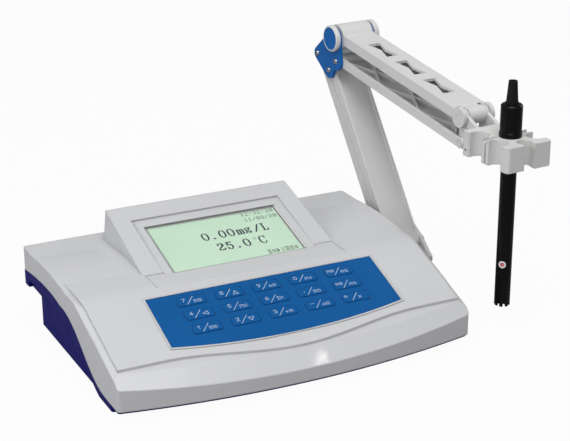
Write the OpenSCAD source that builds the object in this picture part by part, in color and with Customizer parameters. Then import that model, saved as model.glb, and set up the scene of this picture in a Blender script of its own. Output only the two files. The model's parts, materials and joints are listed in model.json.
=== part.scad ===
// Bench meter with a key panel, a display and an electrode on a folding parallelogram arm.
// Millimetres. X runs right, Y back and Z up. The origin is on the bench, under the base's centre.

/* [Base] */
// Width of the base
base_w = 290; // [276:2:310]
// From the centre to the straight rear edge
base_back = 105; // [102:1:112]
// From the centre to the front corners
base_front = 104; // [102:1:108]
// How far the front edge bows out at the middle
front_bow = 15.5; // [12:0.5:20]
// Radius of the upright corners
corner_r = 3; // [2.5:0.5:6]
// Wall of the cover and the case
wall = 2.5; // [2:0.1:3]
// Height of the cover's rim at its highest point
rim_top = 61.5; // [60:0.5:64]
// Radius of the rim's long arch, seen from the side
rim_arch = 325; // [300:5:360]
// Width of the low rim beside the raised panel
rim_w = 4.5; // [3:0.5:8]
// Height of the seam between cover and case at the front
seam_front = 9; // [8:0.5:10]
// Height of the same seam at the middle of the side
seam_mid = 43.5; // [40:0.5:45]
// Gap that shows along the seam
seam_gap = 0.6; // [0.3:0.1:1]
// Depth of the case's lip below the seam
lip_h = 8; // [6:0.5:10]
// Height of the rubber feet
foot_h = 2.5; // [2:0.5:4]
// Diameter of the rubber feet
foot_d = 16; // [12:1:20]

/* [Key panel] */
// Slope of the key panel
key_slope = 18.7; // [17:0.1:20]
// Height of the key panel's upper edge
panel_top = 57.3; // [56:0.1:58]
// Distance of that upper edge in front of the centre
panel_y = 33.7; // [32:0.1:36]
// Width of the blue key sheet
sheet_w = 190; // [184:1:200]
// Length of the blue key sheet at its sides
sheet_l = 53.3; // [50:0.1:56]
// How far the key sheet's lower edge bows out
sheet_bow = 9.5; // [6:0.5:11]
// Thickness of the key sheet
sheet_t = 1; // [0.8:0.1:1.2]
// Columns of keys
key_cols = 5; // [5]
// Rows of keys
key_rows = 3; // [3]
// Distance between columns
key_dx = 31; // [29:0.5:33]
// Distance between rows
key_dy = 15.3; // [14:0.1:16]
// Width of a key
key_w = 23; // [18:0.5:25]
// Length of a key
key_l = 9.6; // [8:0.1:11]
// How far a key goes down
key_travel = 0.4; // [0.2:0.1:0.5]

/* [Display hump] */
// Width of the hump at its top
hump_w = 159; // [150:1:164]
// Rear face of the hump behind the centre
hump_back = 88; // [84:1:92]
// Rise of the hump for each unit of its length
hump_rise = 0.295; // [0.28:0.005:0.31]
// Width of the display's view area
lcd_w = 115; // [105:1:118]
// Length of the view area along the slope
lcd_l = 62.5; // [56:0.5:64]
// Thickness of the display window
window_t = 1.5; // [1:0.1:2]

/* [Arm] */
// Width of the arm's links
link_w = 30; // [26:1:32]
// Thickness of the two lower links
link_t = 8.8; // [7:0.1:8.9]
// Pivot distance of the lower links
low_len = 165; // [160:1:180]
// Lean of the lower links from upright
low_lean = 35; // [34:0.5:36]
// Pivot distance of the upper links
up_len = 180.4; // [165:0.2:195]
// Droop of the upper links below level
up_droop = 7.8; // [4:0.2:10]
// Turn of the whole arm from straight ahead
arm_turn = 4; // [0:0.5:6]
// From the base's side wall to the arm's middle plane
arm_out = 34; // [32:1:40]
// Diameter of the pivot pins
pin_d = 5; // [4:0.5:6]
// Radial clearance of a pin in its own hole
pin_fit = 0.06; // [0.03:0.01:0.1]
// Radial clearance of the two pivots that close the linkages
loose_fit = 0.3; // [0.2:0.05:0.4]
// Side clearance between links and plates
side_gap = 0.3; // [0.2:0.05:0.4]
// Thickness of the blue elbow plates
plate_t = 2.5; // [2:0.1:3]
// Diameter of the elbow's end caps
cap_d = 23; // [20:0.5:24]
// Thickness of the elbow's end caps
cap_t = 4.5; // [3.5:0.1:5]

/* [Electrode and holder] */
// Diameter of the electrode's shaft
shaft_d = 12.5; // [12:0.1:13]
// Running clearance of the shaft in the holder
shaft_fit = 0.1; // [0.05:0.01:0.1]
// Length of the shaft below the cap
shaft_l = 140; // [120:1:146]
// Diameter of the electrode's cap
head_d = 17; // [16:0.5:20]
// Length of the electrode's cap
head_l = 26; // [20:0.5:30]
// Length of the tapered cable sleeve
sleeve_l = 18; // [14:0.5:22]
// Height of the electrode holder
holder_h = 20; // [18:0.5:21]
// Width of the electrode holder
holder_w = 42; // [40:0.5:46]
// Diameter of the two side clips on each side
clip_d = 16; // [14:0.5:16]
// Diameter of the front clip
front_clip_d = 12; // [11:0.5:13]

/* [Hidden] */
$fn = 64;
KEYS = [for (r = [0:key_rows - 1], c = [0:key_cols - 1]) str("key_", r * key_cols + c + 1)];

white = [0.83, 0.84, 0.86];
case_blue = [0.13, 0.14, 0.42];
panel_blue = [0.09, 0.36, 0.64];
arm_grey = [0.74, 0.74, 0.74];
plate_blue = [0.1, 0.35, 0.65];
black = [0.07, 0.065, 0.07];
steel = [0.7, 0.7, 0.7];
board_green = [0.1, 0.35, 0.2];

e = 0.01;
hw = base_w / 2;

// ---- the base's outline and surfaces ----

front_y = -base_front - front_bow;
plan_r = (hw * hw + front_bow * front_bow) / (2 * front_bow);
plan_c = front_y + plan_r;

// Outline seen from above, pulled in by d: straight sides and back, bowed front, round corners
module plan(d) {
    w = hw - d;
    r = plan_r - d;
    rc = corner_r - min(d, corner_r - 1);
    cx = w - rc;
    cy = plan_c - sqrt(pow(r - rc, 2) - cx * cx);
    a = asin(cx / (r - rc));
    yb = base_back - d;
    difference() {
        intersection() {
            translate([0, plan_c]) circle(r, $fn = 360);
            translate([-w, front_y - e]) square([2 * w, yb - front_y + e]);
        }
        for (m = [0, 1]) mirror([m, 0]) {
            polygon([[cx, cy], [cx + 2 * rc, cy], [cx + 2 * rc, cy - 3 * rc],
                     [cx + 3 * rc * sin(a), cy - 3 * rc * cos(a)]]);
            translate([cx, yb - rc]) square(2 * rc);
        }
    }
    for (m = [0, 1]) mirror([m, 0]) {
        translate([cx, cy]) circle(rc + 2 * e);
        translate([cx, yb - rc]) circle(rc + 2 * e);
    }
}

// The rim's surface is one wide arch swept about a distant upright axis behind the base
sweep_y = 1200;
arch_y = 45;
sweep_r = sqrt(pow(sweep_y - arch_y, 2) + hw * hw);

module under_rim(d) {
    translate([0, sweep_y, 0]) rotate([0, 0, -90 - 13])
        rotate_extrude(angle = 26, $fn = 720) difference() {
            intersection() {
                translate([sweep_r, rim_top - d - rim_arch]) circle(rim_arch, $fn = 180);
                translate([sweep_r - 200, -20]) square([400, 120]);
            }
        }
}

// The rim is one step below the panel, then rolls down to the arch; its front falls away steeply
rim_step = 1.9;
shoulder_drop = 2.4;
front_fall = 0.9;
front_top = 19.3;
front_far = sweep_y - front_y;
module under_front(d) {
    translate([0, sweep_y, 0]) rotate([0, 0, -90 - 13]) rotate_extrude(angle = 26, $fn = 720)
        polygon([[front_far - 400, -20], [front_far + 15, -20], [front_far + 15, front_top - d - 15 * front_fall],
                 [front_far - 80, front_top - d + 80 * front_fall], [front_far - 400, front_top - d + 80 * front_fall]]);
}
module shoulder(d) {
    n = rim_step + d;
    in = hw - rim_w - d;
    intersection() {
        on_panel() translate([0, 50, 0]) rotate([90, 0, 0]) linear_extrude(150)
            polygon([[-in, -n], [in, -n], [hw + 4, -n - shoulder_drop * (hw + 4 - in) / rim_w],
                     [hw + 4, -70], [-hw - 4, -70], [-hw - 4, -n - shoulder_drop * (hw + 4 - in) / rim_w]]);
        side_prism(hw + 2) panel_profile(n);
    }
}
module rim(d) {
    intersection() {
        union() {
            under_rim(d);
            shoulder(d);
        }
        under_front(1.2 * d);
    }
}

// Side view of the seam: low along the front, then a soft step up to a shallow arch
seam_y0 = -84;
seam_y1 = 18;
seam_rise = 2.1;
seam_peak = 42;
seam_drop = 5.6;
function soft_step(t) = t * t * t * (t * (6 * t - 15) + 10);
function seam_z(y) =
    y < seam_y0 ? seam_front :
    y < seam_y1 ? seam_front + (seam_mid - seam_front) * soft_step((y - seam_y0) / (seam_y1 - seam_y0)) :
    y < seam_peak ? seam_mid + seam_rise * (1 - pow((seam_peak - y) / (seam_peak - seam_y1), 2)) :
    seam_mid + seam_rise - seam_drop * pow((y - seam_peak) / (base_back - seam_peak), 2);
seam_ys = concat([-base_front - 40, seam_y0 - 12], [for (i = [0:24]) seam_y0 + i * (seam_y1 - seam_y0) / 24],
    [for (i = [1:9]) seam_y1 + i * (base_back + 12 - seam_y1) / 9]);

// Everything under (up = false) or over (up = true) the seam, moved up by dz
module seam_side(up, dz) {
    edge = [for (y = seam_ys) [y, seam_z(y) + dz]];
    far = up ? 120 : -20;
    y0 = seam_ys[0];
    y1 = seam_ys[len(seam_ys) - 1];
    side_prism(hw + 20) polygon(concat(edge, [[y1, far], [y0, far]]));
}

// Turns a side view (y, z) into a prism that reaches w to each side
module side_prism(w) {
    rotate([90, 0, 90]) translate([0, 0, -w]) linear_extrude(2 * w) children();
}

// ---- the key panel's plane: origin at the middle of its upper edge ----

module on_panel() {
    translate([0, -panel_y, panel_top]) rotate([key_slope, 0, 0]) children();
}
key_y0 = -10;   // first row below the upper edge, along the slope
function key_pos(i) = [((i % key_cols) - (key_cols - 1) / 2) * key_dx,
                       key_y0 - floor(i / key_cols) * key_dy];

// The raised panel: flat under the keys, then rolling over to the level top
roll_r = 60;
level_slope = -0.4;
module panel_profile(d) {
    p0 = [-panel_y, panel_top - d];
    c = p0 + roll_r * [sin(key_slope), -cos(key_slope)];
    lo = p0 - 100 * [cos(key_slope), sin(key_slope)];
    n = 8;
    roll = [for (i = [0:n]) let (a = key_slope - i * (key_slope - level_slope) / n)
            c + roll_r * [-sin(a), cos(a)]];
    last = roll[n];
    polygon(concat([lo], roll, [last + 140 * [cos(level_slope), sin(level_slope)],
                                [last[0] + 140, -30], [lo[0], -30]]));
}

// Front edge of the raised panel: level at the ends, swelling forward at the middle
panel_end_y = -94;
panel_swell = 12;
swell_w = 105;
function wave_y(x) = panel_end_y - (abs(x) < swell_w ? panel_swell * (0.5 + 0.5 * cos(180 * x / swell_w)) : 0);
module panel_plan(d) {
    w = hw - rim_w - d;
    n = 28;
    polygon(concat([for (i = [0:n]) let (x = -w + 2 * w * i / n) [x, wave_y(x) + d]],
                   [[w, 12], [w + rim_w + 2, 52], [w + rim_w + 2, base_back + 2 - d],
                    [-w - rim_w - 2, base_back + 2 - d], [-w - rim_w - 2, 52], [-w, 12]]));
}
module raised_panel(d) {
    intersection() {
        linear_extrude(120) panel_plan(d);
        side_prism(hw) panel_profile(d);
    }
}

// ---- the display hump ----

hump_y0 = 3;
hump_z0 = panel_top + 2.5;
hump_draft = 2;
function hump_z(y) = hump_z0 + hump_rise * (y - hump_y0);
module hump(d) {
    intersection() {
        side_prism(hw) polygon([[hump_y0 - 20, hump_z(hump_y0 - 20) - d], [hump_back - d, hump_z(hump_back) - d],
                                [hump_back + hump_draft - d, 40 - d], [hump_y0 - 20, 40 - d]]);
        translate([0, 120, 0]) rotate([90, 0, 0]) linear_extrude(160)
            polygon([[-hump_w / 2 + d, 90], [hump_w / 2 - d, 90],
                     [hump_w / 2 + 2 * hump_draft - d, 40], [-hump_w / 2 - 2 * hump_draft + d, 40]]);
    }
}

// The display's plane: origin at the middle of the view area's lower edge
lcd_y = 1.2;
lcd_z = hump_z0 - 0.6;
lcd_tilt = 15.3;
bezel_side = 7.5;
bezel_top = 9.5;
module on_display() {
    translate([0, lcd_y, lcd_z]) rotate([lcd_tilt, 0, 0]) children();
}

// ---- upper cover ----

boss_x = hw - 16;
boss_front = -78;
boss_back = 60;
boss_d = 8;
boss_up = 1;   // the bosses end this far over the seam
screw_d = 3.4;
floor_z = foot_h + wall;

module cover_outer() {
    intersection() {
        union() {
            intersection() {
                linear_extrude(110) plan(0);
                union() {
                    rim(0);
                    raised_panel(0);
                }
            }
            hump(0);
        }
        seam_side(true, 0);
    }
}

module cover_inner() {
    intersection() {
        linear_extrude(110) plan(wall);
        union() {
            rim(wall);
            raised_panel(wall);
            hump(wall);
        }
    }
}

module sheet_outline(d) {
    w = sheet_w / 2 - d;
    r = (w * w + sheet_bow * sheet_bow) / (2 * sheet_bow);
    intersection() {
        translate([0, -sheet_l - sheet_bow + d + r]) circle(r, $fn = 240);
        translate([-w, -sheet_l - sheet_bow - 1]) square([2 * w, sheet_l + sheet_bow + 1 - d]);
    }
}

key_gap = 0.25;
stem_d = 4;
sheet_proud = 0.4;
border_w = 1.6;
border_h = 0.6;

module upper_cover() {
    color(white) difference() {
        union() {
            cover_outer();
            on_panel() linear_extrude(border_h) sheet_outline(-border_w);
        }
        difference() {
            cover_inner();
            for (x = [-boss_x, boss_x], y = [boss_front, boss_back])
                translate([x, y, 0]) cylinder(d = boss_d, h = 100);
            on_panel() translate([0, 0, -sheet_t - wall]) linear_extrude(20) sheet_outline(-4);
            on_display() translate([-lcd_w / 2 - 14, -10, -window_t - wall - 1]) cube([lcd_w + 28, lcd_l + 28, 30]);
        }
        // level strip in front of the hump, a little below the deck
        translate([-hump_w / 2 - 1, -panel_y - 8, hump_z0]) cube([hump_w + 2, panel_y + 8 + hump_y0, 20]);
        // seat for the key sheet, and a hole for each key's stem
        on_panel() translate([0, 0, sheet_proud - sheet_t]) linear_extrude(10) sheet_outline(-0.2);
        on_panel() for (i = [0:len(KEYS) - 1])
            translate(concat(key_pos(i), [-30])) cylinder(d = stem_d + 1, h = 40);
        // bevelled recess round the display, then its window and view opening
        on_display() {
            translate([-lcd_w / 2 - bezel_side, -1.5, 0]) cube([lcd_w + 2 * bezel_side, lcd_l + bezel_top + 1.5, 20]);
            translate([-lcd_w / 2 - 0.2, -0.2, -window_t]) cube([lcd_w + 0.4, lcd_l + 0.4, 20]);
            translate([-lcd_w / 2 + 2, 2, -40]) cube([lcd_w - 4, lcd_l - 4, 60]);
        }
        // bosses end on the case's pillars, with a screw hole in each
        for (x = [-boss_x, boss_x], y = [boss_front, boss_back]) translate([x, y, 0]) {
            cylinder(d = boss_d + 1, h = seam_z(y) + boss_up);
            cylinder(d = screw_d - 0.3, h = seam_z(y) + boss_up + 8);
        }
    }
}

// ---- lower case ----

case_in = 4;
lip_in = 0.8;
chin_back = 14;    // the case's foot stands back this far at the front
chin_h = 4.4;
rear_y = 75;
overhang_z = 27;
bumper = 4;
pillar_d = 9;
head_sink = 3;
SCREWS = [for (x = [-boss_x, boss_x], y = [boss_front, boss_back]) [x, y]];

module case_profile(d) {
    side_prism(hw) polygon([[front_y - 9, foot_h + d], [rear_y - d, foot_h + d], [rear_y - d, overhang_z + d],
                            [base_back + 9, overhang_z + d], [base_back + 9, 70], [front_y - 9, 70]]);
}

// The case's outline: pulled in by d, and at the front by chin_back more below h, or by top_back above it
module case_plan(d, h, top_back) {
    linear_extrude(h) intersection() {
        plan(d);
        translate([0, chin_back]) plan(d);
    }
    translate([0, 0, h - e]) linear_extrude(80) intersection() {
        plan(d);
        translate([0, top_back]) plan(d);
    }
}

module lower_case() {
    back = base_back + bumper - lip_in;
    top = seam_z(base_back) - seam_gap;
    color(case_blue) difference() {
        union() {
            intersection() {
                case_plan(case_in, foot_h + chin_h, 1);
                case_profile(0);
                seam_side(false, -seam_gap);
            }
            // lip that follows the seam
            intersection() {
                translate([0, 0, foot_h]) case_plan(lip_in, chin_h, 1.3);
                seam_side(false, -seam_gap);
                seam_side(true, -seam_gap - lip_h);
            }
            // pillars that carry the cover's bosses
            for (s = SCREWS) translate([s[0], s[1], foot_h])
                cylinder(d = pillar_d, h = seam_z(s[1]) + boss_up - foot_h);
            // bumper along the rear edge
            intersection() {
                side_prism(hw - lip_in) polygon([[base_back - 8, overhang_z], [back - 1.2, overhang_z],
                    [back, overhang_z + 2], [back - 0.8, top], [base_back - 8, top]]);
                translate([0, bumper, 0]) linear_extrude(70) plan(lip_in);
            }
        }
        difference() {
            intersection() {
                case_plan(case_in + wall, foot_h + chin_h + wall, 1);
                case_profile(wall);
            }
            for (s = SCREWS) translate([s[0], s[1], 0]) cylinder(d = pillar_d, h = 80);
        }
        for (s = SCREWS) translate([s[0], s[1], 0]) {
            cylinder(d = screw_d, h = 80);
            translate([0, 0, foot_h - 1]) cylinder(d = 6.6, h = head_sink + 1);
        }
        rear_cutouts();
        for (z = BRACKET_HOLES) translate([hw - case_in - wall - 1, swivel_y + z[0], z[1]])
            rotate([0, 90, 0]) cylinder(d = bracket_screw_d, h = wall + 2);
        for (f = FEET) translate([f[0], f[1], foot_h - 1]) cylinder(d = 5, h = wall + 2);
    }
}

FEET = [for (x = [-hw + 33, hw - 33], y = [-base_front + 30, rear_y - 14]) [x, y]];
module rubber_feet() {
    color(black) for (f = FEET) translate([f[0], f[1], 0]) {
        cylinder(d1 = foot_d - 2, d2 = foot_d, h = foot_h);
        cylinder(d = 4.8, h = foot_h + wall + 0.8);
        translate([0, 0, foot_h + wall]) cylinder(d1 = 6.4, d2 = 4.6, h = 1.6);
    }
}

module case_screws() {
    color(steel) for (s = SCREWS) translate([s[0], s[1], foot_h + head_sink - 2.2]) difference() {
        union() {
            cylinder(d = 6, h = 2.2);
            cylinder(d = screw_d - 0.4, h = seam_z(s[1]) + 7 - foot_h - head_sink + 2.2);
        }
        for (a = [0, 90]) rotate(a) translate([-1.8, -0.4, -1]) cube([3.6, 0.8, 2.2]);
    }
}

// ---- key sheet, keys and their board ----

module key_outline(d) {
    r = 2;
    w = key_w + 2 * d;
    l = key_l + 2 * d;
    translate([-w / 2 + r, -l / 2]) square([w - 2 * r, l]);
    translate([-w / 2, -l / 2 + r]) square([w, l - 2 * r]);
    for (x = [-1, 1], y = [-1, 1]) translate([x * (w / 2 - r), y * (l / 2 - r)]) circle(r);
}

module key_sheet() {
    color(panel_blue) on_panel() translate([0, 0, sheet_proud - sheet_t]) difference() {
        linear_extrude(sheet_t) sheet_outline(0);
        for (i = [0:len(KEYS) - 1]) translate(concat(key_pos(i), [-1])) linear_extrude(sheet_t + 2)
            key_outline(key_gap);
    }
}

key_rise = 0.5;
board_drop = 9;      // from the panel's face down to the key board
switch_h = 2.2;
module key(i) {
    low = sheet_proud - sheet_t + key_travel + 0.1;
    color(panel_blue) on_panel() translate(concat(key_pos(i), [0])) {
        translate([0, 0, low]) linear_extrude(sheet_proud + key_rise - low - 0.4) key_outline(0);
        translate([0, 0, sheet_proud + key_rise - 0.4]) linear_extrude(0.4) key_outline(-0.5);
        translate([0, 0, -board_drop + switch_h + key_travel + 0.1])
            cylinder(d = stem_d, h = board_drop - switch_h - key_travel + low);
    }
}

board_t = 1.6;
module key_board() {
    color(board_green) on_panel() {
        translate([-sheet_w / 2 + 8, -sheet_l + 2, -board_drop - board_t]) cube([sheet_w - 16, sheet_l - 4, board_t]);
        for (i = [0:len(KEYS) - 1]) translate(concat(key_pos(i), [-board_drop - e])) {
            translate([-3, -3, 0]) cube([6, 6, switch_h - 0.6]);
            cylinder(d = 3.4, h = switch_h);
        }
        // pegs up to the cover's inner face
        for (x = [-1, 1], y = [-1, -3]) translate([x * (sheet_w / 2 - 12), y * (sheet_l / 4), -board_drop - e])
            cylinder(d = 4, h = board_drop - wall - sheet_t + e);
    }
}

// ---- display ----

module display_window() {
    color([0.75, 0.86, 0.8, 0.5]) on_display() translate([-lcd_w / 2, 0, -window_t]) cube([lcd_w, lcd_l, window_t]);
}

glass_t = 2.8;
module display_module() {
    // glass seats behind the cover's opening, on its own board
    seat = window_t + wall + 1;
    color([0.72, 0.84, 0.74]) on_display() {
        translate([-lcd_w / 2 + 2.3, 2.3, -window_t - glass_t - 0.1]) cube([lcd_w - 4.6, lcd_l - 4.6, glass_t]);
        translate([-lcd_w / 2 - 3, -3, -seat - 3.2]) cube([lcd_w + 6, lcd_l + 6, 3.2]);
        translate([-lcd_w / 2 + 6, 6, -seat - 1]) cube([lcd_w - 12, lcd_l - 12, seat + 1 - window_t - glass_t]);
        translate([-lcd_w / 2 - 5, -5, -seat - 3.2 - board_t]) cube([lcd_w + 10, lcd_l + 10, board_t]);
    }
}

// ---- main board on pillars in the case ----

main_x = 105;
main_y0 = -60;
main_y1 = 60;
pillar_h = 7;
pillar_in = 6;
main_z = floor_z + pillar_h;
MAIN_PILLARS = [for (x = [-main_x + pillar_in, main_x - pillar_in], y = [main_y0 + pillar_in, main_y1 - pillar_in])
    [x, y]];
module board_pillars() {
    color(steel) for (p = MAIN_PILLARS) translate([p[0], p[1], floor_z]) {
        cylinder(d = 6, h = main_z - floor_z, $fn = 6);
        cylinder(d = 3, h = main_z - floor_z + board_t + 1.5);
        translate([0, 0, main_z - floor_z + board_t]) cylinder(d = 5.4, h = 1.8);
    }
}
module main_board() {
    color(board_green) difference() {
        union() {
            translate([-main_x, main_y0, main_z]) cube([2 * main_x, main_y1 - main_y0, board_t]);
            translate([-40, -30, main_z]) cube([28, 28, board_t + 2.4]);
            translate([10, -20, main_z]) cube([18, 12, board_t + 3]);
            translate([60, -40, main_z]) cube([30, 22, board_t + 7]);
            for (i = [0:3]) translate([-88 + 14 * i, 36, main_z]) cylinder(d = 9, h = board_t + 9);
        }
        for (p = MAIN_PILLARS) translate([p[0], p[1], main_z - 1]) cylinder(d = 3.2, h = board_t + 2);
    }
}

// ---- sockets on the recessed rear wall ----

socket_z = (foot_h + overhang_z) / 2;
bnc_xs = [100, 74];
probe_x = 46;
ground_x = 22;
serial_x = -22;
power_x = -78;
bnc_hole = 9.8;
probe_hole = 14;
serial_w = 24;
serial_h = 11;
power_hole = 11;
post_hole = 4.2;

module rear_axis(x) {
    translate([x, rear_y, socket_z]) rotate([-90, 0, 0]) children();
}
module rear_cutouts() {
    depth = wall + 2;
    for (x = bnc_xs) rear_axis(x) translate([0, 0, -depth + 1]) cylinder(d = bnc_hole + 0.2, h = depth);
    rear_axis(probe_x) translate([0, 0, -depth + 1]) cylinder(d = probe_hole + 0.2, h = depth);
    rear_axis(ground_x) translate([0, 0, -depth + 1]) cylinder(d = post_hole + 0.2, h = depth);
    rear_axis(power_x) translate([0, 0, -depth + 1]) cylinder(d = power_hole + 0.2, h = depth);
    rear_axis(serial_x) translate([-serial_w / 2 - 0.1, -serial_h / 2 - 0.1, -depth + 1])
        cube([serial_w + 0.2, serial_h + 0.2, depth]);
}

module bnc_sockets() {
    color(steel) for (x = bnc_xs) rear_axis(x) difference() {
        union() {
            translate([0, 0, -wall - 9]) cylinder(d = bnc_hole, h = 9 + wall + 12);
            cylinder(d = 14.5, h = 1.6);
            translate([0, 0, 1.6]) cylinder(d = 13.6, h = 2, $fn = 6);
            for (a = [0, 180]) rotate(a) translate([0, 0, 9]) rotate([90, 0, 0]) cylinder(d = 2, h = bnc_hole / 2 + 0.9);
        }
        difference() {
            translate([0, 0, 3]) cylinder(d = 8.2, h = 12);
            cylinder(d = 4.8, h = 11.5);
        }
        translate([0, 0, 5]) cylinder(d = 1.4, h = 12);
    }
}
module probe_socket() {
    color(steel) rear_axis(probe_x) difference() {
        union() {
            translate([0, 0, -wall - 10]) cylinder(d = probe_hole, h = 10 + wall + 5);
            cylinder(d = 18, h = 1.8);
        }
        translate([0, 0, -3]) cylinder(d = 11.5, h = 10);
        for (i = [0:4]) rotate(i * 60 + 30) translate([3.6, 0, -8]) cylinder(d = 1.6, h = 8);
    }
}
module ground_post() {
    color("black") rear_axis(ground_x) {
        translate([0, 0, -wall - 5]) cylinder(d = post_hole, h = wall + 5 + 13);
        cylinder(d = 9, h = 2);
        translate([0, 0, 4]) cylinder(d = 9.5, h = 8);
    }
}
module serial_port() {
    color(steel) rear_axis(serial_x) difference() {
        union() {
            translate([-serial_w / 2, -serial_h / 2, -wall - 8]) cube([serial_w, serial_h, 8 + wall + 1]);
            translate([-15.4, -6.2, 0]) cube([30.8, 12.4, 1]);
            linear_extrude(6.5) polygon([[-8.6, -4], [8.6, -4], [9.8, 4], [-9.8, 4]]);
            for (x = [-12.5, 12.5]) translate([x, 0, 0]) cylinder(d = 5, h = 5, $fn = 6);
        }
        for (x = [-12.5, 12.5]) translate([x, 0, 1.5]) cylinder(d = 3, h = 6);
        for (i = [0:4]) translate([(i - 2) * 2.8, 1.4, 2]) cylinder(d = 1.1, h = 6);
        for (i = [0:3]) translate([(i - 1.5) * 2.8, -1.4, 2]) cylinder(d = 1.1, h = 6);
    }
}
module power_jack() {
    color(black) rear_axis(power_x) difference() {
        union() {
            translate([0, 0, -wall - 11]) cylinder(d = power_hole, h = 11 + wall + 1);
            cylinder(d = 14, h = 2);
        }
        difference() {
            translate([0, 0, -8]) cylinder(d = 6.4, h = 12);
            translate([0, 0, -9]) cylinder(d = 2, h = 10.5);
        }
    }
}

// ---- the arm's bracket and swivel ----

swivel_x = hw + arm_out - 1.7;
swivel_y = 57;
bracket_z = 3.5;
bracket_t = 5;
bracket_w = 34;
bracket_screw_d = 4;
flange_h = 26;
BRACKET_HOLES = [for (y = [-10, 10]) [y, bracket_z + flange_h - 7]];
swivel_d = 8;
yoke_z = bracket_z + bracket_t + 0.2;
yoke_t = 4.2;
ear_t = 3.5;
foot_rear = 27;
foot_front = 22;

module arm_bracket() {
    x0 = hw - case_in;
    color(arm_grey) difference() {
        union() {
            translate([x0, swivel_y - bracket_w / 2, bracket_z]) cube([swivel_x - x0, bracket_w, bracket_t]);
            translate([swivel_x, swivel_y, bracket_z]) cylinder(d = bracket_w, h = bracket_t);
            translate([x0, swivel_y - bracket_w / 2, bracket_z]) cube([4, bracket_w, flange_h]);
            for (y = [-bracket_w / 2, bracket_w / 2 - 3]) translate([x0, swivel_y + y, bracket_z + bracket_t])
                rotate([90, 0, 0]) mirror([0, 0, 1]) linear_extrude(3) polygon([[0, 0], [9, 0], [4, 10], [0, 10]]);
        }
        translate([swivel_x, swivel_y, 0]) cylinder(d = swivel_d + 2 * pin_fit, h = 20);
        for (z = BRACKET_HOLES) translate([x0 - 1, swivel_y + z[0], z[1]])
            rotate([0, 90, 0]) cylinder(d = bracket_screw_d + 0.3, h = 8);
    }
}
module bracket_screws() {
    x0 = hw - case_in;
    color(steel) for (z = BRACKET_HOLES) translate([x0 - wall - 2, swivel_y + z[0], z[1]]) rotate([0, 90, 0]) difference() {
        union() {
            cylinder(d = bracket_screw_d - 0.1, h = wall + 2 + 4 + 2);
            translate([0, 0, wall + 6]) cylinder(d = 7, h = 2.4);
        }
        translate([0, 0, wall + 7]) cylinder(d = 3, h = 3, $fn = 6);
    }
}
module swivel_pin() {
    color(steel) translate([swivel_x, swivel_y, bracket_z]) {
        cylinder(d = swivel_d, h = bracket_t + 0.2 + yoke_t + 0.2);
        translate([0, 0, bracket_t + yoke_t + 0.4]) cylinder(d = 13, h = 2.3);
        translate([0, 0, -0.8]) cylinder(d = 13, h = 0.8);
    }
}

// Arm frame: t runs forward from the swivel's axis, z up, and the links' width runs sideways
module arm() {
    translate([swivel_x, swivel_y, 0]) rotate([0, 0, arm_turn]) rotate([90, 0, -90]) children();
}
module pivot(p, d, h) {
    translate([p[0], p[1], -h / 2]) cylinder(d = d, h = h);
}
// The same piece on both sides, from z = a to z = b
module both_sides(a, b) {
    translate([0, 0, a]) linear_extrude(b - a) children();
    translate([0, 0, -b]) linear_extrude(b - a) children();
}

half = link_w / 2;
plate_in = half + side_gap;
low_front = [3.4, 22.2];
rear_shift = [-19, 10.9];
low_rear = low_front + rear_shift;
elbow_front = low_front + low_len * [-sin(low_lean), cos(low_lean)];
elbow_rear = elbow_front + rear_shift;
elbow_top = elbow_front + [8.3, 30.5];
tie_shift = [2.9, -20.3];
elbow_tie = elbow_top + tie_shift;
head_top = elbow_top + up_len * [cos(up_droop), -sin(up_droop)];
head_tie = head_top + tie_shift;
bore_d = pin_d + 2 * pin_fit;
loose_d = pin_d + 2 * loose_fit;

module swivel_yoke() {
    foot = [-foot_rear, foot_front];
    color(arm_grey) difference() {
        union() {
            arm() both_sides(plate_in, plate_in + ear_t) hull() {
                translate(low_front) circle(d = pin_d + 5.5, $fn = 32);
                translate(low_rear) circle(d = pin_d + 5.5, $fn = 32);
                translate([foot[0], yoke_z]) square([foot[1] - foot[0], yoke_t]);
            }
            arm() linear_extrude(2 * (plate_in + ear_t), center = true)
                translate([foot[0], yoke_z]) square([foot[1] - foot[0], yoke_t]);
        }
        translate([swivel_x, swivel_y, 0]) cylinder(d = swivel_d + 2 * pin_fit, h = 40);
        arm() for (p = [low_front, low_rear]) pivot(p, bore_d, 60);
    }
}
module lower_pins() {
    reach = plate_in + ear_t;
    color(steel) arm() for (p = [low_front, low_rear]) {
        pivot(p, pin_d, 2 * reach + 0.2);
        for (m = [0, 1]) mirror([0, 0, m]) translate([p[0], p[1], reach]) cylinder(d = pin_d + 3, h = 1.3);
    }
}

// A lower link: a bar with round ends and a long pocket, its pivots at the ends
lip = 2.4;
pocket = 1.5;
module lower_link(from, to, d_from, d_to, side) {
    run = to - from;
    len = norm(run);
    arm() translate(from) rotate(atan2(run[1], run[0])) difference() {
        linear_extrude(link_w, center = true) {
            translate([0, -link_t / 2]) square([len, link_t]);
            circle(d = link_t);
            translate([len, 0]) circle(d = link_t);
        }
        translate([8, side > 0 ? link_t / 2 - pocket : -link_t / 2 - 1, -half + lip])
            cube([len - 16, pocket + 1, link_w - 2 * lip]);
        pivot([0, 0], d_from, 60);
        pivot([len, 0], d_to, 60);
    }
}
module lower_front_link() {
    color(arm_grey) lower_link(low_front, elbow_front, bore_d, bore_d, -1);
}
module lower_rear_link() {
    color(arm_grey) lower_link(low_rear, elbow_rear, bore_d, loose_d, 1);
}

// ---- elbow ----

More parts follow.
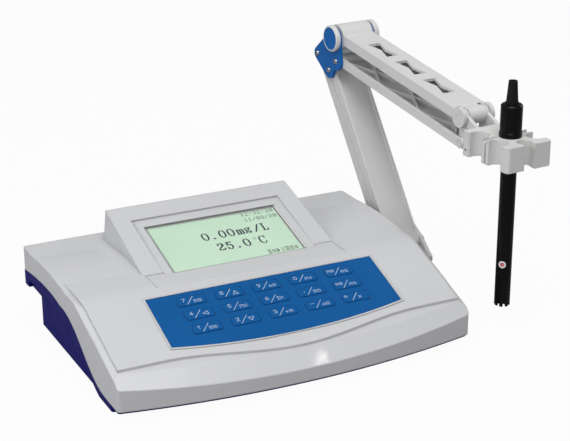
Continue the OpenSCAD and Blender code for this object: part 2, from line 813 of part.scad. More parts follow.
screw_neck = 3;
axle_d = 6;
module elbow_plate() {
    difference() {
        linear_extrude(plate_t) union() {
            hull() {
                translate(elbow_top) circle(d = cap_d - 6, $fn = 32);
                translate(elbow_rear) circle(5.4, $fn = 32);
                translate(elbow_front) circle(7.4, $fn = 32);
            }
            hull() {
                translate(elbow_top) circle(d = cap_d - 6, $fn = 32);
                translate(elbow_tie) circle(8.2, $fn = 32);
            }
        }
        for (p = [elbow_rear, elbow_tie, elbow_front])
            translate([p[0], p[1], -1]) cylinder(d = screw_neck + 0.1, h = plate_t + 2);
        translate([elbow_top[0], elbow_top[1], -1]) cylinder(d = axle_d + 0.1, h = plate_t + 2);
    }
}
module elbow_plate_left() {
    color(plate_blue) arm() translate([0, 0, plate_in]) elbow_plate();
}
module elbow_plate_right() {
    color(plate_blue) arm() translate([0, 0, -plate_in - plate_t]) elbow_plate();
}
module elbow_axle() {
    color(steel) arm() pivot(elbow_top, axle_d, 2 * (plate_in + plate_t + cap_t - 1.5));
}
module elbow_caps() {
    z0 = plate_in + plate_t;
    color(arm_grey) arm() for (m = [0, 1]) mirror([0, 0, m]) translate([elbow_top[0], elbow_top[1], z0]) difference() {
        rotate_extrude() polygon([[0, 0], [cap_d / 2 - 0.6, 0], [cap_d / 2, 0.6], [cap_d / 2, cap_t - 1],
                                  [cap_d / 2 - 0.9, cap_t], [0, cap_t]]);
        translate([0, 0, -1]) cylinder(d = axle_d + 0.1, h = cap_t - 0.5);
        translate([0, 0, cap_t - 0.5]) cylinder(d = cap_d - 3.3, h = 1);
    }
}
module elbow_discs() {
    z0 = plate_in + plate_t + cap_t - 0.5;
    color(plate_blue) arm() for (m = [0, 1]) mirror([0, 0, m])
        translate([elbow_top[0], elbow_top[1], z0]) cylinder(d = cap_d - 3.4, h = 0.4);
}
module elbow_pins() {
    color(steel) arm() for (p = [elbow_rear, elbow_tie, elbow_front]) {
        pivot(p, pin_d, 2 * plate_in);
        pivot(p, screw_neck, 2 * (plate_in + plate_t) + 0.2);
        for (m = [0, 1]) mirror([0, 0, m]) translate([p[0], p[1], plate_in + plate_t]) difference() {
            cylinder(d1 = 5, d2 = 4, h = 1.2);
            translate([-2, -0.35, 0.6]) cube([4, 0.7, 1]);
        }
    }
}

// ---- upper links ----

skin = 2.5;       // top plate's thickness
flange = 3;       // side flanges' thickness
flange_up = 5.5;
flange_down = 3.2;
barrel_d = 23;
head_d2 = 16.4;
ear_in = 8.2;     // the holder's ears lie between these two distances from the middle
ear_out = 11.2;
windows = [50, 91, 132];
web_x = 26;
web_t = 1.4;
window_l = 29;
window_w = 12;
waist = 4;

module upper_frame(p) {
    arm() translate(p) rotate(-up_droop) children();
}
module hourglass(x) {
    l = window_l / 2;
    w = window_w / 2;
    translate([x, 0]) polygon([[-l, -w], [-l, w], [0, waist / 2], [l, w], [l, -w], [0, -waist / 2]]);
}
module upper_top_link() {
    color(arm_grey) upper_frame(elbow_top) difference() {
        union() {
            cylinder(d = barrel_d, h = link_w, center = true);
            linear_extrude(link_w, center = true) {
                translate([0, flange_up - skin]) square([up_len - 2, skin]);
                polygon([[8, flange_up - skin], [22, flange_up - skin], [9, -1]]);
            }
            both_sides(half - flange, half) {
                translate([0, -flange_down]) square([up_len, flange_up + flange_down]);
                translate([up_len, 0]) circle(d = head_d2);
            }
            translate([up_len, 0, 0]) cylinder(d = 14, h = 2 * (ear_in - 0.3), center = true);
            linear_extrude(2 * (ear_in - 0.3), center = true)
                translate([up_len - 16, 0]) square([12, flange_up]);
            // thin web between the flanges, under the windows
            linear_extrude(2 * (half - flange) + 1, center = true)
                translate([web_x, 0.4 - flange_down]) square([up_len - web_x - 32, web_t]);
        }
        cylinder(d = axle_d + 2 * pin_fit, h = 60, center = true);
        pivot([up_len, 0], bore_d, 60);
        for (m = [0, 1]) mirror([0, 0, m]) translate([up_len, 0, ear_in - 0.3])
            cylinder(d = 19, h = ear_out - ear_in + 0.6);
        for (x = windows) rotate([-90, 0, 0]) linear_extrude(20) hourglass(x * up_len / 180.4);
        for (x = [windows[1], windows[2]]) rotate([90, 0, 0]) translate([x * up_len / 180.4 - 5, 5, 0]) cylinder(d = 9, h = 9);
    }
}

bar_up = 3.4;
bar_down = 3.8;
tie_floor = 2;
rib_t = 1.6;
rib_h = 6.4;
rib_x0 = 7.6;
cells = 3;
module upper_bottom_link() {
    pitch = (up_len - 8) / cells;
    color(arm_grey) upper_frame(elbow_tie) difference() {
        union() {
            cylinder(d = 11, h = link_w, center = true);
            both_sides(half - flange, half) {
                translate([0, -bar_down]) square([up_len, bar_up + bar_down]);
                translate([up_len, 0]) circle(d = bar_up + bar_down + 1.2);
            }
            linear_extrude(2 * (half - flange) + 1, center = true)
                translate([0, -bar_down]) square([up_len - 16, tie_floor]);
            // crossed ribs standing on the floor
            translate([0, rib_h - bar_down, 0]) rotate([90, 0, 0]) linear_extrude(rib_h - 0.7) intersection() {
                for (i = [0:cells - 1], a = [-1, 1]) translate([rib_x0 + (i + 0.5) * pitch, 0])
                    rotate(a * atan2(2 * (half - flange), pitch - 8)) square([1.2 * pitch, rib_t], center = true);
                translate([7, flange - half - 0.2]) square([up_len - 24, 2 * (half - flange) + 0.4]);
            }
        }
        pivot([0, 0], bore_d, 60);
        pivot([up_len, 0], loose_d, 60);
    }
}

// ---- electrode holder ----

reach = 47.2;           // from the upper pivot forward to the electrode's axis
hold_top = head_top[1] - 4.4;
hold_bottom = hold_top - holder_h;
bore_fit = shaft_d + 2 * shaft_fit;
side_a = [-15, 17.5];   // centres of the clips beside the electrode
side_b = [8.5, 18];
front_c = [17, 0];
front_mouth = 10;
body_back = -30;
body_front = 24.5;
cheek = 6.5;
slit_x = -3.65;
slit_in = 8.8;
slit_w = 1.5;

// Plan view of the head: x forward, y away from the base, origin on the electrode's axis
module head_frame() {
    translate([swivel_x, swivel_y, 0]) rotate([0, 0, arm_turn - 90]) translate([head_top[0] + reach, 0, 0]) children();
}
// A straight bar w wide with its ends at p and q
module bar(p, q, w) {
    translate(p) rotate(atan2(q[1] - p[1], q[0] - p[0])) translate([0, -w / 2]) square([norm(q - p), w]);
}
module holder_plan() {
    w = holder_w / 2;
    r = 3;
    difference() {
        union() {
            translate([body_back, -w - 1]) square([cheek, 2 * w + 2]);
            translate([body_back, -w]) square([body_front - body_back - r, 2 * w]);
            translate([body_back, -w + r]) square([body_front - body_back, 2 * (w - r)]);
            for (y = [-1, 1]) translate([body_front - r, y * (w - r)]) circle(r);
        }
        circle(d = bore_fit);
        for (m = [-1, 1]) {
            translate([side_a[0], m * side_a[1]]) circle(d = clip_d);
            translate([side_b[0], m * side_b[1]]) circle(d = clip_d);
            // slit that lets the middle prong give
            translate([slit_x - slit_w / 2, m > 0 ? slit_in : -w - 1]) square([slit_w, w + 1 - slit_in]);
        }
        translate(front_c) circle(d = front_clip_d);
        translate([front_c[0], -front_mouth / 2]) square([20, front_mouth]);
    }
}
module electrode_holder() {
    ear_a = head_top;
    ear_b = head_tie;
    x1 = head_top[0] + reach + body_back + 2;
    color([0.85, 0.85, 0.84]) difference() {
        union() {
            difference() {
                head_frame() translate([0, 0, hold_bottom]) linear_extrude(holder_h) holder_plan();
                // the side clips open less deep at the top of the middle prong
                head_frame() translate([-6.5, -holder_w, hold_top - 3]) cube([5.7, holder_w - 15, 4]);
                head_frame() translate([-6.5, 15, hold_top - 3]) cube([5.7, holder_w, 4]);
            }
            arm() both_sides(ear_in, ear_out) {
                translate(ear_a) circle(6.3);
                translate(ear_b) circle(5.5);
                bar(ear_a, ear_b, 9.4);
                bar(ear_a, [x1, hold_top - 4.5], 9);
                bar(ear_b, [x1, hold_bottom + 4], 8);
            }
        }
        arm() for (p = [ear_a, ear_b]) pivot(p, pin_d, 60);
        head_frame() translate([0, 0, hold_bottom - 20]) cylinder(d = bore_fit, h = 60);
        arm() pivot([x1 + 1, hold_bottom + 4.7], 2.6, 60);
    }
}
module head_pins() {
    color(steel) arm() for (p = [head_top, head_tie]) pivot(p, pin_d, link_w - 0.2);
}

// ---- electrode ----

face_turn = -50;     // the button looks toward the front and the key panel
groove_w = 0.8;
spigot_d = 9;
spigot_l = 8;
tip_z = hold_top - shaft_l;
joint_z = tip_z + 19.6;
button_z = tip_z + 36;
ring_d = 5.8;
dot_d = 3.6;
plug_l = 8;

module groove(z) {
    head_frame() translate([0, 0, z]) difference() {
        cylinder(d = shaft_d + 2, h = groove_w);
        translate([0, 0, -1]) cylinder(d = shaft_d - 0.8, h = groove_w + 2);
    }
}
module on_button() {
    head_frame() translate([0, 0, button_z]) rotate([0, 90, face_turn]) children();
}
module electrode_shaft() {
    color(black) difference() {
        head_frame() {
            translate([0, 0, joint_z]) cylinder(d = shaft_d, h = hold_top - joint_z);
            translate([0, 0, joint_z - spigot_l]) cylinder(d = spigot_d, h = spigot_l + 1);
            translate([0, 0, hold_top - 1]) cylinder(d = spigot_d, h = plug_l + 1);
        }
        groove(joint_z + 1.4);
        on_button() translate([0, 0, shaft_d / 2 - 1.6]) cylinder(d = ring_d, h = 5);
    }
}
module electrode_cap() {
    r = head_d / 2;
    color(black) head_frame() translate([0, 0, hold_top]) difference() {
        rotate_extrude() polygon([[0, 0], [r + 0.2, 0], [r + 0.4, 0.4], [r + 0.4, 3.6], [r, 4.2],
            [r, head_l - 1.3], [r - 0.8, head_l - 0.4], [sleeve_low / 2 + 1.5, head_l], [0, head_l]]);
        translate([0, 0, -1]) cylinder(d = spigot_d, h = plug_l + 1);
        translate([0, 0, head_l - 6]) cylinder(d = sleeve_low - 2, h = 8);
    }
}
sleeve_low = 9.5;
sleeve_top = 6.8;
module cable_sleeve() {
    color(black) head_frame() translate([0, 0, hold_top + head_l]) difference() {
        union() {
            cylinder(d1 = sleeve_low, d2 = sleeve_top, h = sleeve_l);
            cylinder(d = sleeve_low + 1, h = 1.2);
            translate([0, 0, -6]) cylinder(d = sleeve_low - 2, h = 7);
        }
        translate([0, 0, 2]) cylinder(d = 4, h = sleeve_l);
    }
}
module membrane_cap() {
    z0 = tip_z;
    slot_h = 2.3;
    color(black) head_frame() difference() {
        translate([0, 0, z0]) cylinder(d = shaft_d, h = joint_z - z0);
        translate([0, 0, joint_z - spigot_l]) cylinder(d = spigot_d, h = spigot_l + 1);
        translate([0, 0, z0 - 1]) cylinder(d = shaft_d - 3.4, h = 5);
        for (a = [22.5, 67.5, 112.5, 157.5]) translate([0, 0, z0 - 1]) rotate(a)
            translate([-1, -shaft_d, 0]) cube([2, 2 * shaft_d, slot_h + 1]);
        translate([0, 0, z0 + 10.6]) difference() {
            cylinder(d = shaft_d + 2, h = groove_w);
            translate([0, 0, -1]) cylinder(d = shaft_d - 0.8, h = groove_w + 2);
        }
    }
}
module sensor_ring() {
    color(white) on_button() translate([0, 0, shaft_d / 2 - 1.6]) difference() {
        cylinder(d = ring_d, h = 1.8);
        translate([0, 0, -1]) cylinder(d = dot_d, h = 4);
    }
}
module sensor_button() {
    color([0.85, 0.45, 0.5]) on_button() translate([0, 0, shaft_d / 2 - 1.6]) cylinder(d = dot_d, h = 1.6);
}

upper_cover();
lower_case();
rubber_feet();
key_sheet();
display_window();
display_module();
key_board();
main_board();
board_pillars();
case_screws();
bnc_sockets();
probe_socket();
power_jack();
serial_port();
ground_post();
arm_bracket();
bracket_screws();
swivel_pin();
swivel_yoke();
lower_pins();
lower_front_link();
lower_rear_link();
elbow_plate_left();
elbow_plate_right();
elbow_axle();
elbow_caps();
elbow_discs();
elbow_pins();
upper_top_link();
upper_bottom_link();
head_pins();
electrode_holder();
electrode_shaft();
electrode_cap();
cable_sleeve();
membrane_cap();
sensor_ring();
sensor_button();
for (i = [0:len(KEYS) - 1]) key(i);
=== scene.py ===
import json
import math
import re

import bpy
from mathutils import Matrix, Vector


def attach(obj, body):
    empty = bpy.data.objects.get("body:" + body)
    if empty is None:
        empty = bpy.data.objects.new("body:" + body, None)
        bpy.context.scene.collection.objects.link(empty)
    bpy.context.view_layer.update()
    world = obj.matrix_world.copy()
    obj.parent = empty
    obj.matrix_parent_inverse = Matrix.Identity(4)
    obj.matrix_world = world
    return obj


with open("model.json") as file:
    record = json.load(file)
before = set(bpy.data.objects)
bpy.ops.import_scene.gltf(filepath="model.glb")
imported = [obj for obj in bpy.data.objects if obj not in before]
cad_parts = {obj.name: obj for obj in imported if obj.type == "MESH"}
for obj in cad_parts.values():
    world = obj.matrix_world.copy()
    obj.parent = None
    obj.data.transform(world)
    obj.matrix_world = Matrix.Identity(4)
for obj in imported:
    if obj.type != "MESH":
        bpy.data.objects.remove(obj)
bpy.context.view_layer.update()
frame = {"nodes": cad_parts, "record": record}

MM = 0.001
NODES = frame["nodes"]

# ---------------------------------------------------------------- camera

AZIMUTH, ELEVATION, ROLL = -26.30, 21.16, -0.14          # degrees
DISTANCE = 1.241
TARGET = Vector((0.0374, 0.0, 0.0863))
LENS, SENSOR = 99.66, 36.0


def add_camera():
    az, el, roll = (math.radians(a) for a in (AZIMUTH, ELEVATION, ROLL))
    back = Vector((math.sin(az) * math.cos(el), -math.cos(az) * math.cos(el), math.sin(el)))
    right = Vector((0, 0, 1)).cross(back).normalized()
    up = back.cross(right)
    right, up = (math.cos(roll) * right + math.sin(roll) * up,
                 -math.sin(roll) * right + math.cos(roll) * up)
    data = bpy.data.cameras.new("camera")
    data.lens, data.sensor_width = LENS, SENSOR
    data.clip_start, data.clip_end = 0.05, 30
    cam = bpy.data.objects.new("camera", data)
    turn = Matrix((right, up, back)).transposed().to_4x4()
    cam.matrix_world = Matrix.Translation(TARGET + back * DISTANCE) @ turn
    bpy.context.scene.collection.objects.link(cam)
    bpy.context.scene.camera = cam


# ---------------------------------------------------------------- materials


class Net:
    """The node tree of a material or a world, with short calls for the nodes that repeat."""

    def __init__(self, owner, out="ShaderNodeOutputMaterial"):
        self.owner = owner
        owner.use_nodes = True
        self.tree = owner.node_tree
        self.tree.nodes.clear()
        self.out = self.add(out)

    def add(self, kind, sets=None, **props):
        """A new node with these properties; sets gives its inputs, each a value or a socket to link."""
        node = self.tree.nodes.new(kind)
        for key, value in props.items():
            setattr(node, key, value)
        for key, value in (sets or {}).items():
            if hasattr(value, "is_linked"):
                self.tree.links.new(value, node.inputs[key])
            else:
                node.inputs[key].default_value = value
        return node

    def noise(self, scale, detail=4.0, rough=0.55, stretch=None):
        where = self.add("ShaderNodeTexCoord").outputs["Object"]
        if stretch:
            where = self.add("ShaderNodeMapping", {"Vector": where, "Scale": stretch}).outputs[0]
        return self.add("ShaderNodeTexNoise", {"Vector": where, "Scale": scale, "Detail": detail,
                                               "Roughness": rough}).outputs[0]

    def ramp(self, value, stops):
        node = self.add("ShaderNodeValToRGB", {"Fac": value})
        points = node.color_ramp.elements
        while len(points) < len(stops):
            points.new(0.5)
        for point, (at, color) in zip(points, stops):
            point.position = at
            point.color = (*color, 1)
        return node.outputs[0]

    def between(self, value, low, high, lo=0.0, hi=1.0):
        """Low where value is lo, high where it is hi, and held at those beyond."""
        return self.add("ShaderNodeMapRange", {"Value": value, "From Min": lo, "From Max": hi,
                                               "To Min": low, "To Max": high}).outputs[0]

    def math(self, how, a, b):
        return self.add("ShaderNodeMath", {0: a, 1: b}, operation=how).outputs[0]

    def blend(self, share, a, b):
        """Colour a where share is 0 and b where it is 1."""
        return self.add("ShaderNodeMix", {"Factor": share, 6: a, 7: b}, data_type="RGBA").outputs[2]

    def mix(self, share, a, b):
        """Shader a where share is 0 and b where it is 1."""
        return self.add("ShaderNodeMixShader", {0: share, 1: a.outputs[0], 2: b.outputs[0]})

    def rounded(self, radius):
        """A normal that makes the edges look rounded."""
        return self.add("ShaderNodeBevel", {"Radius": radius}, samples=4).outputs[0]

    def bump(self, height, distance, normal=None):
        sets = {"Height": height, "Distance": distance}
        if normal is not None:
            sets["Normal"] = normal
        return self.add("ShaderNodeBump", sets).outputs[0]

    def finish(self, shader):
        self.tree.links.new(shader.outputs[0], self.out.inputs["Surface"])
        return self.owner

    def principled(self, sets):
        """Ends the tree with one principled shader."""
        return self.finish(self.add("ShaderNodeBsdfPrincipled", sets))


def material_net(name):
    return Net(bpy.data.materials.new(name))


BLACK, WHITE, DUST_GREY = (0, 0, 0, 1), (1, 1, 1, 1), (0.5, 0.5, 0.5, 1)
GRAIN_DEPTH = 0.000012
SHADE_REACH = 0.009          # a surface nearer than this to another one is in a recess and gets painted shade
COAT_ROUGHNESS = 0.06


def plastic(name, color, rough, spread=0.04, edge=0.0004, grain=2600, coat=0.0, specular=0.5,
            dust=0.0, wave=0.0, shade=0.0):
    """Moulded plastic: a fine grain, faint flow marks in its colour, and gloss that varies over it.

    spread is how far the colour varies and edge how far the edges look rounded. dust adds pale
    specks, wave bends the surface a little, and shade paints shade into corners and narrow recesses.
    """
    net = material_net(name)
    low = [c * (1 - spread) for c in color]
    high = [c * (1 + spread) for c in color]
    tint = net.ramp(net.noise(9, 5), [(0.3, low), (0.7, high)])
    if dust:
        tint = net.blend(net.between(net.noise(900, 3), 0.0, dust, 0.62, 0.8), tint, DUST_GREY)
    if shade:
        # painted shade: ambient occlusion darkens the colour towards black in corners and narrow
        # recesses
        near = net.add("ShaderNodeAmbientOcclusion", {"Distance": SHADE_REACH}, samples=6).outputs["AO"]
        tint = net.blend(net.between(near, 1 - shade, 1.0, 0.25, 0.95), BLACK, tint)
    normal = net.bump(net.noise(grain, 2), GRAIN_DEPTH, net.rounded(edge))
    if wave:
        normal = net.bump(net.noise(22, 2), wave, normal)
    return net.principled({
        "Base Color": tint, "Normal": normal, "Specular IOR Level": specular,
        "Roughness": net.between(net.noise(60, 6), rough * 0.88, rough * 1.12, 0.3, 0.7),
        "Coat Weight": coat, "Coat Roughness": COAT_ROUGHNESS})


def metal(name, color, rough, stretch):
    """Brushed metal, its marks running across the axis along which stretch makes them finer."""
    net = material_net(name)
    brushed = net.noise(1400, 3, 0.5, stretch)
    return net.principled({
        "Base Color": net.ramp(net.noise(160, 4), [(0.3, [c * 0.9 for c in color]), (0.7, color)]),
        "Metallic": 1.0,
        "Roughness": net.between(brushed, rough * 0.7, rough * 1.35, 0.3, 0.7),
        "Normal": net.bump(brushed, 0.000008, net.rounded(0.00015))})


def rubber(name):
    """Matt black rubber with a coarse grain."""
    net = material_net(name)
    grain = net.noise(1800, 4)
    tint = net.ramp(net.noise(30, 5), [(0.3, (0.006, 0.0055, 0.0055)), (0.7, (0.014, 0.013, 0.013))])
    return net.principled({
        "Base Color": tint, "Roughness": net.between(grain, 0.5, 0.75), "Specular IOR Level": 0.15,
        "Normal": net.bump(grain, 0.00003)})


def electrode_body(name):
    """Glossy black with fine pale scuffs that run round and along the shaft."""
    net = material_net(name)
    long_marks = net.noise(700, 3, 0.6, (1, 1, 0.08))
    round_marks = net.noise(900, 3, 0.6, (0.15, 0.15, 1))
    marks = net.math("MAXIMUM", net.between(long_marks, 0, 1, 0.66, 0.8),
                     net.between(round_marks, 0, 1, 0.68, 0.8))
    worn = net.math("MULTIPLY", marks, net.between(net.noise(45, 3), 0, 1, 0.45, 0.7))
    return net.principled({
        "Base Color": net.ramp(worn, [(0.0, (0.004, 0.0032, 0.003)), (1.0, (0.075, 0.072, 0.072))]),
        "Roughness": net.between(worn, 0.24, 0.5), "Specular IOR Level": 0.13,
        "Normal": net.bump(long_marks, 0.000015, net.rounded(0.0003))})


def clear_window(name):
    """A thin clear sheet: its front reflects a little and lets the display through."""
    net = material_net(name)
    gloss = net.between(net.noise(12, 3), 0.03, 0.09)
    clear = net.add("ShaderNodeBsdfTransparent", {"Color": (0.97, 0.99, 0.97, 1)})
    shine = net.add("ShaderNodeBsdfGlossy", {"Color": WHITE, "Roughness": gloss})
    rim = net.add("ShaderNodeFresnel", {"IOR": 1.3}).outputs[0]
    front = net.math("SUBTRACT", 1.0, net.add("ShaderNodeNewGeometry").outputs["Backfacing"])
    return net.finish(net.mix(net.math("MULTIPLY", rim, front), clear, shine))


def lit_display(name):
    """Pale green backlit glass, a little cloudy, with a very fine grain."""
    net = material_net(name)
    tint = net.ramp(net.noise(14, 3), [(0.3, (0.421, 0.530, 0.445)), (0.7, (0.458, 0.565, 0.474))])
    return net.principled({
        "Base Color": tint, "Roughness": net.between(net.noise(300, 2), 0.35, 0.5),
        "Emission Color": tint, "Emission Strength": 0.36,
        "Normal": net.bump(net.noise(2000, 1), 0.000005)})


def circuit_board(name):
    """Green board with lighter patches where its copper runs."""
    net = material_net(name)
    tint = net.ramp(net.noise(220, 2), [(0.46, (0.012, 0.085, 0.035)), (0.54, (0.03, 0.16, 0.07))])
    return net.principled({"Base Color": tint, "Roughness": net.between(net.noise(80, 3), 0.3, 0.5)})


def ink(name, color, rough):
    """Flat print, its colour a little uneven."""
    net = material_net(name)
    low, high = [c * 0.92 for c in color], [c * 1.08 for c in color]
    tint = net.ramp(net.noise(250, 3), [(0.3, low), (0.7, high)])
    return net.principled({"Base Color": tint, "Roughness": rough})


MATERIALS = {
    # the cover's colour has painted shade in its corners and recesses
    "cover_white": plastic("cover_white", (0.53, 0.535, 0.548), 0.5, 0.015, 0.0014, coat=0.16,
                           specular=0.4, wave=0.00004, shade=0.3),
    "case_blue": plastic("case_blue", (0.007, 0.006, 0.13), 0.5, 0.10, 0.0006, specular=0.06),
    "panel_blue": plastic("panel_blue", (0.004, 0.085, 0.275), 0.33, 0.04, 0.0003, grain=1500,
                          specular=0.16, wave=0.00002),
    "window_clear": clear_window("window_clear"),
    "lcd_glass": lit_display("lcd_glass"),
    "board_green": circuit_board("board_green"),
    "arm_grey": plastic("arm_grey", (0.62, 0.62, 0.62), 0.42, 0.02, 0.0005, dust=0.04),
    "holder_white": plastic("holder_white", (0.62, 0.62, 0.61), 0.40, 0.02, 0.0005),
    "plate_blue": plastic("plate_blue", (0.003, 0.115, 0.40), 0.30, 0.05, 0.0004, specular=0.22),
    "electrode_black": electrode_body("electrode_black"),
    "rubber_black": rubber("rubber_black"),
    "steel": metal("steel", (0.46, 0.46, 0.47), 0.3, (1, 1, 6)),
    "socket_metal": metal("socket_metal", (0.66, 0.66, 0.64), 0.22, (1, 8, 1)),
    "black_plastic": plastic("black_plastic", (0.02, 0.02, 0.022), 0.45, 0.1),
    "ring_white": plastic("ring_white", (0.72, 0.72, 0.70), 0.3, 0.02, 0.0002),
    "button_pink": plastic("button_pink", (0.55, 0.13, 0.17), 0.45, 0.08, 0.0002),
    "legend": ink("legend", (0.42, 0.52, 0.64), 0.5),
    "lcd_margin": lit_display("lcd_margin"),
    # painted shadow along the display window's top edge
    "painted_top_shadow": ink("painted_top_shadow", (0.16, 0.14, 0.15), 0.6),
    "lcd_ink": ink("lcd_ink", (0.035, 0.038, 0.07), 0.6),
    "lcd_faint": ink("lcd_faint", (0.085, 0.10, 0.10), 0.6),
}
SLOTS = {row["node"]: row["material_slot"] for row in frame["record"]["subparts"]}
SLOTS["head_pins"] = "arm_grey"      # the pins' ends have the arm's colour


def dress_nodes():
    for name, node in NODES.items():
        for slot in node.material_slots:
            slot.material = MATERIALS[SLOTS[name]]


# ---------------------------------------------------------------- flat marks on a plane


class Marks:
    """A mesh of thin raised strokes and dots on a plane, in the plane's own millimetres."""

    def __init__(self, name, to_world, height):
        self.name, self.to_world, self.height = name, to_world, height
        self.verts, self.faces = [], []

    def prism(self, outline):
        n, first = len(outline), len(self.verts)
        for z in (0, self.height):
            self.verts += [self.to_world @ (Vector((x, y, z)) * MM) for x, y in outline]
        top = [first + n + i for i in range(n)]
        self.faces.append(top)
        self.faces.append([first + i for i in reversed(range(n))])
        self.faces += [[first + i, first + (i + 1) % n, top[(i + 1) % n], top[i]] for i in range(n)]

    def rect(self, x0, y0, x1, y1):
        self.prism([(x0, y0), (x1, y0), (x1, y1), (x0, y1)])

    def stroke(self, points, width):
        """One ribbon along points, with its corners mitred. A closed ribbon repeats its first point."""
        closed = (Vector(points[0]) - Vector(points[-1])).length < 1e-6
        pts = [Vector(p) for p in (points[:-1] if closed else points)]
        n, half = len(pts), width / 2
        left, right = [], []
        for i, p in enumerate(pts):
            before = pts[i - 1] if (i or closed) else None
            after = pts[(i + 1) % n] if (i < n - 1 or closed) else None
            d0 = (p - before).normalized() if before is not None else (after - p).normalized()
            d1 = (after - p).normalized() if after is not None else d0
            mid = (d0 + d1).normalized()
            side = Vector((-mid.y, mid.x)) * min(half / max(mid.dot(d0), 0.35), 2 * half)
            if before is None:
                p = p - d0 * half
            if after is None:
                p = p + d0 * half
            left.append(p + side)
            right.append(p - side)
        spans = n if closed else n - 1
        first = len(self.verts)
        for z in (0, self.height):
            for a, b in zip(left, right):
                self.verts += [self.to_world @ (Vector((q.x, q.y, z)) * MM) for q in (a, b)]
        up = 2 * n
        for i in range(spans):
            j = (i + 1) % n
            a, b, c, d = first + 2 * i, first + 2 * i + 1, first + 2 * j + 1, first + 2 * j
            self.faces += [[a, d, c, b], [a + up, b + up, c + up, d + up],
                           [b, c, c + up, b + up], [d, a, a + up, d + up]]
        if not closed:
            a, b = first, first + 1
            c, d = first + 2 * (n - 1), first + 2 * (n - 1) + 1
            self.faces += [[a, b, b + up, a + up], [d, c, c + up, d + up]]

    def build(self, body, material):
        mesh = bpy.data.meshes.new(self.name)
        mesh.from_pydata([tuple(v) for v in self.verts], [], self.faces)
        mesh.materials.append(material)
        piece = bpy.data.objects.new(self.name, mesh)
        bpy.context.scene.collection.objects.link(piece)
        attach(piece, body)


def arc(cx, cy, rx, ry, start, end, steps):
    turns = [math.radians(start + (end - start) * i / steps) for i in range(steps + 1)]
    return [(cx + rx * math.cos(turn), cy + ry * math.sin(turn)) for turn in turns]


# Strokes of each sign, in a box 1 high: digits are about 0.6 of the box wide, the others fill it
SIGNS = {
    "0": [arc(0.3, 0.5, 0.28, 0.48, 90, 450, 18)],
    "1": [[(0.08, 0.78), (0.32, 0.98), (0.32, 0.02)]],
    "2": [arc(0.3, 0.72, 0.26, 0.26, 165, -35, 9) + [(0.04, 0.03), (0.58, 0.03)]],
    "3": [arc(0.28, 0.75, 0.25, 0.23, 150, -80, 9), arc(0.28, 0.27, 0.28, 0.26, 80, -150, 9)],
    "4": [[(0.44, 0.02), (0.44, 0.98), (0.03, 0.3), (0.6, 0.3)]],
    "5": [[(0.54, 0.97), (0.12, 0.97), (0.07, 0.55)] + arc(0.28, 0.33, 0.28, 0.31, 120, -140, 10)],
    "6": [arc(0.3, 0.32, 0.27, 0.3, 90, 450, 14), arc(0.62, 0.32, 0.59, 0.66, 180, 108, 7)],
    "7": [[(0.03, 0.96), (0.57, 0.96), (0.2, 0.02)]],
    "8": [arc(0.3, 0.76, 0.22, 0.22, 90, 450, 14), arc(0.3, 0.27, 0.28, 0.27, 90, 450, 14)],
    "9": [arc(0.3, 0.68, 0.27, 0.3, 90, 450, 14), arc(-0.02, 0.68, 0.59, 0.66, 0, -72, 7)],
    "dot": [arc(0.3, 0.1, 0.05, 0.05, 0, 360, 8)],
    "minus": [[(0.0, 0.55), (0.62, 0.55)]],
    "up": [[(0, 0.02), (0.5, 0.98), (1, 0.02), (0, 0.02)]],
    "down": [[(0, 0.98), (1, 0.98), (0.5, 0.02), (0, 0.98)]],
    "left": [[(0, 0.5), (1, 0.98), (1, 0.02), (0, 0.5)]],
    "right": [[(0, 0.02), (0, 0.98), (1, 0.5), (0, 0.02)]],
    # plain marks that stand where a key has a word
    "bars": [[(0, 0.1), (1, 0.1)], [(0, 0.5), (1, 0.5)], [(0, 0.9), (1, 0.9)]],
    "ring": [arc(0.5, 0.5, 0.42, 0.42, 90, 450, 14), [(0.5, 0.5), (0.5, 0.95)]],
    "box": [[(0.06, 0.06), (0.94, 0.06), (0.94, 0.94), (0.06, 0.94), (0.06, 0.06)],
            [(0.06, 0.5), (0.94, 0.5)]],
    "cross": [[(0.1, 0.1), (0.9, 0.9)], [(0.1, 0.9), (0.9, 0.1)]],
    "plus": [[(0.5, 0.05), (0.5, 0.95)], [(0.05, 0.5), (0.95, 0.5)]],
    "turn": [arc(0.5, 0.45, 0.42, 0.42, 150, -170, 12), [(0.14, 0.98), (0.14, 0.66), (0.46, 0.66)]],
    "posts": [[(0.12, 0.05), (0.12, 0.6)], [(0.5, 0.05), (0.5, 0.95)], [(0.88, 0.05), (0.88, 0.75)]],
    "gate": [[(0.08, 0.05), (0.08, 0.95), (0.92, 0.95), (0.92, 0.05)], [(0.3, 0.5), (0.7, 0.5)]],
}


def sign(marks, name, x, y, w, h, width):
    """One sign in the box with its lower left corner at (x, y), drawn with lines this wide."""
    for line in SIGNS[name]:
        marks.stroke([(x + px * w, y + py * h) for px, py in line], width)


# ---------------------------------------------------------------- key legends

PANEL_SLOPE = math.radians(18.7)
KEY_NORMAL = Vector((0, -math.sin(PANEL_SLOPE), math.cos(PANEL_SLOPE)))
FLAT_TOP = 0.05              # points this near a key's highest one, in millimetres, lie on its top
LEGEND_HEIGHT = 0.05
SLASH, SLASH_WIDTH = [(-4.4, -3.5), (2.2, 3.9)], 0.42
# where signs stand on key_plane, in millimetres: x, y, width, height and line width, for a sign that is
# alone and for the first of a row
LEFT_ALONE, LEFT_ROW, LEFT_STEP = (-7.4, -0.4, 4.6, 3.4, 0.42), (-9.4, 0.1, 2.5, 2.6, 0.34), 3.2
RIGHT_ALONE, RIGHT_ROW, RIGHT_STEP = (2.4, -2.4, 4.4, 3.6, 0.45), (1.4, -2.5, 2.7, 2.9, 0.34), 3.4
SMALL_SIGNS = ("gate", "cross")          # stay as small as in a row when alone
